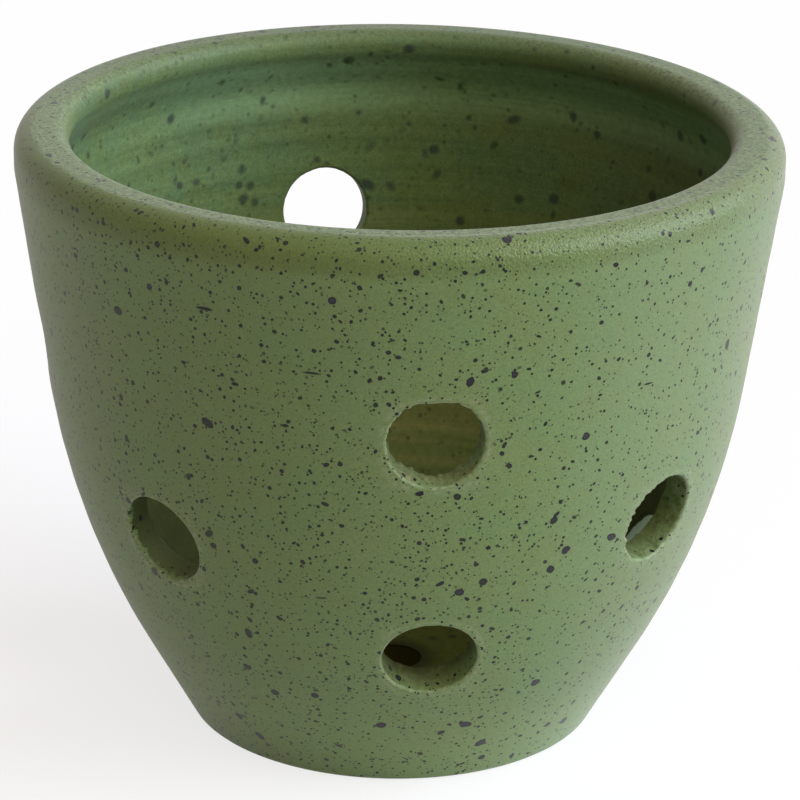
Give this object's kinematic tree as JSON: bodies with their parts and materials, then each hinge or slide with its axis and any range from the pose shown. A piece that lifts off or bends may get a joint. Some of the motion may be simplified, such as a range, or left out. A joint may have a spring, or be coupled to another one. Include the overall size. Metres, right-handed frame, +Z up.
{
  "type": "ceramic orchid pot",
  "caption": "Tapered stoneware orchid pot with a thick rounded lip, round air holes through its wall, a drain hole and a turned foot ring.",
  "frame": {"origin": "centre of the foot ring on the ground", "axes": "+Z up along the pot's turning axis, -Y towards the front column of air holes"},
  "size_m": [0.15, 0.15, 0.122],
  "materials": {
    "fired_clay": "matte, rough, unglazed",
    "outer_glaze": "matte",
    "rim_glaze": "matte",
    "inner_glaze": "matte",
    "hole_glaze": "matte"
  },
  "bodies": {
    "root": {"clay_body": "fired_clay", "outer_glaze": "outer_glaze", "rim_glaze": "rim_glaze", "inner_glaze": "inner_glaze", "hole_glaze": "hole_glaze"}
  },
  "joints": []
}
